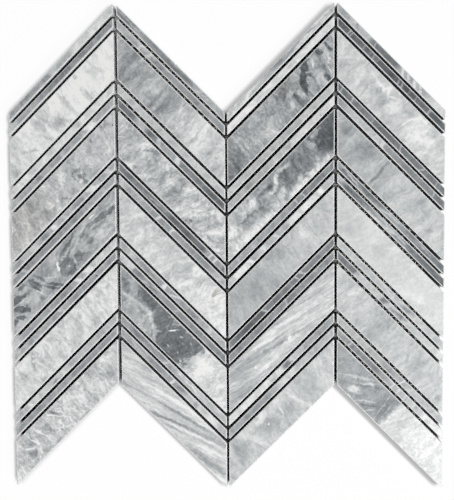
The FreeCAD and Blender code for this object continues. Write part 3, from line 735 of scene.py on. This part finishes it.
def weave_tree(material):
    """Turns straight edges into yarns that pass over and under one another."""
    tree = bpy.data.node_groups.new("Woven yarns", "GeometryNodeTree")
    for way in ("INPUT", "OUTPUT"):
        tree.interface.new_socket(name="Geometry", in_out=way, socket_type="NodeSocketGeometry")
    for name in ("Pitch Along X", "Pitch Along Y", "Origin X", "Origin Y", "Middle Height",
                 "Wave", "Step", "Yarn Width", "Yarn Thickness"):
        tree.interface.new_socket(name=name, in_out="INPUT", socket_type="NodeSocketFloat")
    given = add_node(tree, "NodeGroupInput").outputs

    # One point for each crossing and each gap between two crossings
    curve = add_node(tree, "GeometryNodeMeshToCurve", {0: given["Geometry"]})
    length = add_node(tree, "GeometryNodeSplineLength")
    count = add_node(tree, "ShaderNodeMath", {
        0: length.outputs["Length"], 1: given["Step"]}, operation="DIVIDE")
    count = add_node(tree, "ShaderNodeMath", {0: count}, operation="ROUND")
    count = add_node(tree, "ShaderNodeMath", {0: count, 1: 1.0}, operation="ADD")
    curve = add_node(tree, "GeometryNodeResampleCurve", {
        "Curve": curve, "Count": count}, mode="COUNT")

    # The height goes up and down from one crossing to the next
    here = add_node(tree, "ShaderNodeSeparateXYZ", {
        0: add_node(tree, "GeometryNodeInputPosition")})
    turns = []
    for axis in "XY":
        off = add_node(tree, "ShaderNodeMath", {
            0: here.outputs[axis], 1: given[f"Origin {axis}"]}, operation="SUBTRACT")
        turns.append(add_node(tree, "ShaderNodeMath", {
            0: off, 1: given[f"Pitch Along {axis}"]}, operation="DIVIDE"))
    phase = add_node(tree, "ShaderNodeMath", {0: turns[0], 1: turns[1]}, operation="ADD")
    phase = add_node(tree, "ShaderNodeMath", {0: phase, 1: math.pi}, operation="MULTIPLY")
    wave = add_node(tree, "ShaderNodeMath", {0: phase}, operation="COSINE")
    height = add_node(tree, "ShaderNodeMath", {
        0: wave, 1: given["Wave"], 2: given["Middle Height"]}, operation="MULTIPLY_ADD")
    place = add_node(tree, "ShaderNodeCombineXYZ", {
        "X": here.outputs["X"], "Y": here.outputs["Y"], "Z": height})
    curve = add_node(tree, "GeometryNodeSetPosition", {"Geometry": curve, "Position": place})
    curve = add_node(tree, "GeometryNodeSetCurveNormal", {"Curve": curve}, mode="Z_UP")

    # A flattened round section runs along it
    section = add_node(tree, "GeometryNodeCurvePrimitiveCircle", {
        "Resolution": YARN_SIDES, "Radius": 0.5}, mode="RADIUS")
    flat = add_node(tree, "ShaderNodeCombineXYZ", {
        "X": given["Yarn Width"], "Y": given["Yarn Thickness"], "Z": 1.0})
    section = add_node(tree, "GeometryNodeTransform", {"Geometry": section, "Scale": flat})
    yarn = add_node(tree, "GeometryNodeCurveToMesh", {
        "Curve": curve, "Profile Curve": section, "Fill Caps": True})
    whole = add_node(tree, "GeometryNodeRealizeInstances", {0: yarn})
    done = add_node(tree, "GeometryNodeSetMaterial", {"Geometry": whole, "Material": material})
    add_node(tree, "NodeGroupOutput", {0: done})
    return tree


def yarn_spans(node, axis, own_pitch):
    """Where each thread of a CAD net layer runs, read off its faces."""
    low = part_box(node)[0]
    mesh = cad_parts[node].data
    across = 1 - axis
    first = low[across] + YARN_WIDTH * MM / 2
    rows = {}
    for face in mesh.polygons:
        corners = [mesh.vertices[index].co for index in face.vertices]
        middle = sum(corner[across] for corner in corners) / len(corners)
        reach = [corner[axis] for corner in corners]
        row = round((middle - first) / own_pitch)
        rows.setdefault(row, []).append((min(reach), max(reach)))
    spans = []
    for row, reaches in sorted(rows.items()):
        start, end = min(reaches)
        for near, far in sorted(reaches) + [(math.inf, math.inf)]:
            if near > end + YARN_WIDTH * MM:
                spans.append((first + row * own_pitch, start, end))
                start, end = near, far
            end = max(end, far)
    return spans


def woven_layer(name, node, axis, origin, wave, material):
    """One set of yarns, as edges that the node tree turns into woven yarns."""
    pitch = (PITCH_ALONG_X * MM, PITCH_ALONG_Y * MM)
    step = pitch[axis] / 2
    points, edges = [], []
    for line, start, end in yarn_spans(node, axis, pitch[1 - axis]):
        first = math.ceil((start - origin[axis]) / step)
        last = math.floor((end - origin[axis]) / step)
        if last - first < 2:
            continue
        for index in (first, last):
            point = [line, line, YARN_THICKNESS * MM]
            point[axis] = origin[axis] + index * step
            points.append(point)
        edges.append((len(points) - 2, len(points) - 1))
    mesh = bpy.data.meshes.new(name)
    mesh.from_pydata(points, edges, [])
    layer = bpy.data.objects.new(name, mesh)
    bpy.context.collection.objects.link(layer)
    tree = weave_tree(material)
    modifier = layer.modifiers.new("Weave", "NODES")
    modifier.node_group = tree
    values = {"Pitch Along X": pitch[0], "Pitch Along Y": pitch[1], "Origin X": origin[0],
              "Origin Y": origin[1], "Middle Height": YARN_THICKNESS * MM, "Wave": wave,
              "Step": step, "Yarn Width": YARN_WIDTH * MM, "Yarn Thickness": YARN_THICKNESS * MM}
    for item in tree.interface.items_tree:
        if item.name in values:
            modifier[item.identifier] = values[item.name]
    seen = layer.evaluated_get(bpy.context.evaluated_depsgraph_get())
    woven = bpy.data.meshes.new_from_object(seen)
    layer.modifiers.remove(modifier)
    layer.data = woven
    woven.name = name
    return layer


# The size is white and hard, and a little greyer where it is thin
yarn_material, tree = new_material("sized_glass_yarn")
where = add_node(tree, "ShaderNodeTexCoord").outputs
grain = add_node(tree, "ShaderNodeMapping", {
    "Vector": where["Object"], "Scale": (0.6 * MM, 0.6 * MM, 0.6 * MM)}, vector_type="TEXTURE")
grain = add_node(tree, "ShaderNodeTexNoise", {
    "Vector": grain, "Scale": 1.0, "Detail": 3.0}).outputs["Fac"]
size = add_node(tree, "ShaderNodeValToRGB", {"Fac": grain})
set_stops(size, [(0.3, linear(GLASS_SIZE_GREY)), (0.6, linear(GLASS_SIZE_WHITE))])
colour = size.outputs["Color"]

# The adhesive lies only on top of the yarns
on_top = add_node(tree, "ShaderNodeSeparateXYZ", {0: where["Normal"]})
on_top = add_node(tree, "ShaderNodeMapRange", {
    "Value": on_top.outputs["Z"], "From Min": 0.0, "From Max": 0.2})
for x, y, half_x, half_y in ADHESIVE_AREAS:
    far = ellipse_distance(tree, where["Object"], (x * MM, y * MM), (half_x * MM, half_y * MM))
    smear = add_node(tree, "ShaderNodeMapRange", {
        "Value": far, "From Min": 0.9, "From Max": 1.1, "To Min": 0.9, "To Max": 0.0})
    smear = add_node(tree, "ShaderNodeMath", {0: smear, 1: on_top}, operation="MULTIPLY")
    colour = add_node(tree, "ShaderNodeMix", {
        "Factor": smear, 6: colour, 7: linear(ADHESIVE_GREY)}, data_type="RGBA").outputs[2]
relief = add_node(tree, "ShaderNodeBump", {"Strength": 0.4, "Distance": 0.1 * MM, "Height": grain})
shader = add_node(tree, "ShaderNodeBsdfPrincipled", {
    "Base Color": colour, "Roughness": 0.45, "Normal": relief})
add_node(tree, "ShaderNodeOutputMaterial", {"Surface": shader})

# Where one set goes over a crossing, the other goes under it
weave_origin = (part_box("net_lengthwise_threads")[0][0] + YARN_WIDTH * MM / 2,
                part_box("net_crosswise_threads")[0][1] + YARN_WIDTH * MM / 2)
wave_height = YARN_THICKNESS * MM / 2
for way, axis, wave in (("lengthwise", 1, wave_height), ("crosswise", 0, -wave_height)):
    node = f"net_{way}_threads"
    layer = woven_layer(f"woven_yarns_{way}", node, axis, weave_origin, wave, yarn_material)
    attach(layer, "root")
    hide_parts(node)


# Floor.
# A plain white table, lit like the sheet for the light it passes on but evenly
# bright to the camera, with a painted soft shadow round the sheet's edge and
# painted shade that keeps it dark in the joints.

FLOOR_WHITE = "#f4f4f2"
FLOOR_HALF = 3.0
EVENLY_LIT = 0.95
SHADOW_REACH = 5.2
JOINT_REACH = 5.5


def background_rays(tree):
    """1 for rays by which the camera sees the background, in gloss and glass too."""
    ray = add_node(tree, "ShaderNodeLightPath").outputs
    seen = ray["Is Camera Ray"]
    for other in ("Is Glossy Ray", "Is Transmission Ray"):
        seen = add_node(tree, "ShaderNodeMath", {0: seen, 1: ray[other]}, operation="MAXIMUM")
    return seen


floor_mesh = bpy.data.meshes.new("floor")
floor_mesh.from_pydata([(x * FLOOR_HALF, y * FLOOR_HALF, 0)
                        for x, y in ((-1, -1), (1, -1), (1, 1), (-1, 1))], [], [(0, 1, 2, 3)])
floor = bpy.data.objects.new("floor", floor_mesh)
bpy.context.collection.objects.link(floor)
floor_material, tree = new_material("white_table")
seen = add_node(tree, "ShaderNodeMath", {
    0: background_rays(tree), 1: EVENLY_LIT}, operation="MULTIPLY")

# Painted shadow, as from a light to the right: only the floor beside walls on its right is shaded
to_light = add_node(tree, "ShaderNodeCombineXYZ", {"X": 0.85, "Y": 0.25, "Z": 0.5})
lee = add_node(tree, "ShaderNodeAmbientOcclusion", {
    "Distance": SHADOW_REACH * MM, "Normal": to_light}, samples=16)
lee = add_node(tree, "ShaderNodeMapRange", {
    "Value": lee.outputs["AO"], "From Min": 0.68, "From Max": 0.94, "To Min": 0.45})

# Painted shade: the floor between two walls of a joint is dark
slot = add_node(tree, "ShaderNodeAmbientOcclusion", {
    "Distance": JOINT_REACH * MM}, samples=16)
slot = add_node(tree, "ShaderNodeMapRange", {
    "Value": slot.outputs["AO"], "From Min": 0.33, "From Max": 0.5})
painted_floor_shade = add_node(tree, "ShaderNodeMath", {0: lee, 1: slot}, operation="MULTIPLY")
glow = add_node(tree, "ShaderNodeEmission", {"Color": (1, 1, 1, 1), "Strength": painted_floor_shade})
plain = add_node(tree, "ShaderNodeBsdfDiffuse", {"Color": linear(FLOOR_WHITE)})
table = add_node(tree, "ShaderNodeMixShader", {0: seen, 1: plain, 2: glow})
add_node(tree, "ShaderNodeOutputMaterial", {"Surface": table})
floor_mesh.materials.append(floor_material)


# Studio light and camera.
# A soft box stands at the lower right, with a weaker one at the upper left, in a
# pale room. The camera looks down from a little above the sheet's middle.

ROOM_LIGHT = 0.18

world = bpy.data.worlds.new("pale_room")
bpy.context.scene.world = world
world.use_nodes = True
tree = world.node_tree
tree.nodes.clear()
room = add_node(tree, "ShaderNodeBackground", {
    "Color": (1, 1, 1, 1), "Strength": ROOM_LIGHT})
white = add_node(tree, "ShaderNodeBackground", {"Color": (1, 1, 1, 1), "Strength": 1.0})
both = add_node(tree, "ShaderNodeMixShader", {0: background_rays(tree), 1: room, 2: white})
add_node(tree, "ShaderNodeOutputWorld", {"Surface": both})

for name, place, size, power in (("soft_box_right", (0.78, -0.72, 1.25), 0.5, 21.0),
                                 ("soft_box_left", (-0.9, 0.9, 1.2), 0.8, 6.5)):
    lamp = bpy.data.lights.new(name, "AREA")
    lamp.shape = "SQUARE"
    lamp.size = size
    lamp.energy = power
    holder = bpy.data.objects.new(name, lamp)
    holder.location = place
    holder.rotation_mode = "QUATERNION"
    aim = -holder.location
    holder.rotation_quaternion = aim.to_track_quat("-Z", "Y")
    bpy.context.collection.objects.link(holder)

camera_data = bpy.data.cameras.new("camera")
camera_data.sensor_width = 36.0
camera_data.lens = 67.125
camera = bpy.data.objects.new("camera", camera_data)
camera.location = (0.0199, 0.0414, 0.600)
camera.rotation_euler = [math.radians(turn) for turn in (-4.048, 1.865, -0.417)]
bpy.context.collection.objects.link(camera)
bpy.context.scene.camera = camera
bpy.context.scene.view_settings.view_transform = "Standard"
